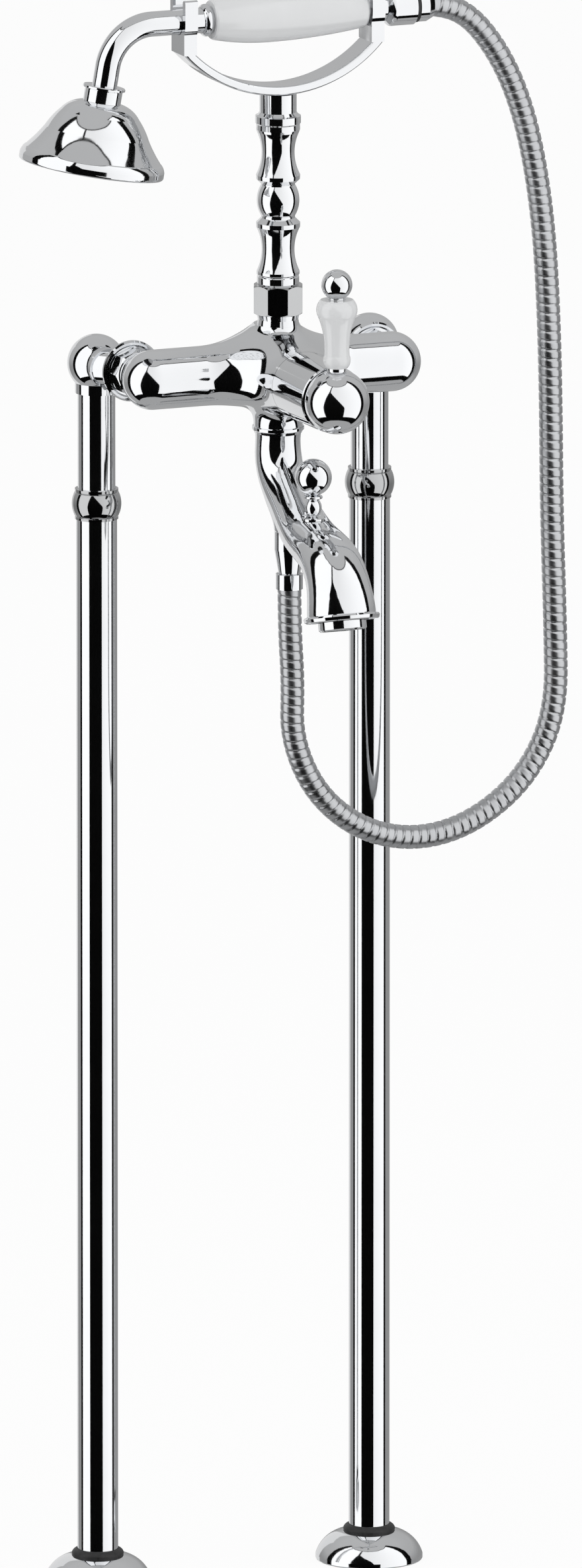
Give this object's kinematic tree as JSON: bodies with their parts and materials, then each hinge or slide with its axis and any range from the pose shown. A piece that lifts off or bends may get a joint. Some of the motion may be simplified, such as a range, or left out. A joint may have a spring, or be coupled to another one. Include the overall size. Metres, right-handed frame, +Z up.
{
  "type": "floor standing bath filler",
  "caption": "Floor standing bath mixer on paired columns with a swan spout, porcelain lever and a hand shower cradled above on a baluster, fed by a ribbed metal hose.",
  "frame": {"origin": "on the floor, midway between the axes of the two floor columns, at the centre of the four anchor holes", "axes": "+X to the right as the bather sees it, -Y towards the bath, where the spout and lever point, +Z up"},
  "size_m": [0.336, 0.2218, 0.9585],
  "materials": {
    "chrome": "polished",
    "hose_chrome": "polished",
    "porcelain": "gloss",
    "ceramic": "satin",
    "brass": "satin",
    "copper": "satin",
    "steel": "brushed",
    "rubber": "matt",
    "plastic": "matt"
  },
  "bodies": {
    "stand": {"base_plate_left": "steel", "base_plate_right": "steel", "inlet_tail_left": "brass", "inlet_tail_right": "brass", "riser_pipe_left": "copper", "riser_pipe_right": "copper", "floor_flange_left": "chrome", "floor_flange_right": "chrome", "column_lower_left": "chrome", "column_lower_right": "chrome", "column_collar_left": "chrome", "column_collar_right": "chrome", "column_upper_left": "chrome", "column_upper_right": "chrome", "elbow_left": "chrome", "elbow_right": "chrome", "union_tail_left": "chrome", "union_tail_right": "chrome", "union_ring_left": "chrome", "union_ring_right": "chrome", "union_nut_left": "chrome", "union_nut_right": "chrome", "flange_ring_left": "rubber", "flange_ring_right": "rubber", "inlet_washer_left": "rubber", "inlet_washer_right": "rubber", "mixer_body": "chrome", "lever_cover": "chrome", "lever_screw": "chrome", "spout_collar": "chrome", "spout": "chrome", "aerator_housing": "chrome", "diverter_gland": "chrome", "top_ring": "chrome", "top_nut": "chrome", "baluster": "chrome", "cradle": "chrome", "hose_ferrule_lower": "chrome", "hose_nut_lower": "chrome", "hose": "hose_chrome", "cartridge_nut": "brass", "cartridge_body": "plastic", "aerator_insert": "plastic", "ceramic_disc": "ceramic"},
    "stem": {"cartridge_stem": "brass"},
    "lever": {"lever_dome": "chrome", "lever_grip": "porcelain", "lever_ball": "chrome"},
    "diverter": {"diverter_knob": "chrome", "diverter_plug": "rubber"},
    "handset": {"handset_arm": "chrome", "handset_bead": "chrome", "handset_grip": "porcelain", "handset_neck": "chrome", "rose_nut": "chrome", "rose_bell": "chrome", "spray_plate": "chrome", "hose_nut_upper": "chrome", "hose_ring": "rubber", "hose_ferrule_upper": "chrome"}
  },
  "joints": [
    {"name": "temperature", "type": "hinge", "parent": "stand", "child": "stem", "pos_m": [0, -0.161, 0.7305], "axis": [0, 1, 0], "range_deg": [-45, 45]},
    {"name": "flow", "type": "hinge", "parent": "stem", "child": "lever", "pos_m": [0, -0.161, 0.7305], "axis": [1, 0, 0], "range_deg": [0, 22]},
    {"name": "diverter_pull", "type": "slide", "parent": "stand", "child": "diverter", "axis": [0, 0, 1], "range_m": [0, 0.005]},
    {"name": "handset_lift", "type": "slide", "parent": "stand", "child": "handset", "axis": [0, 0, 1], "range_m": [0, 0.08], "deforming": ["hose"]}
  ]
}
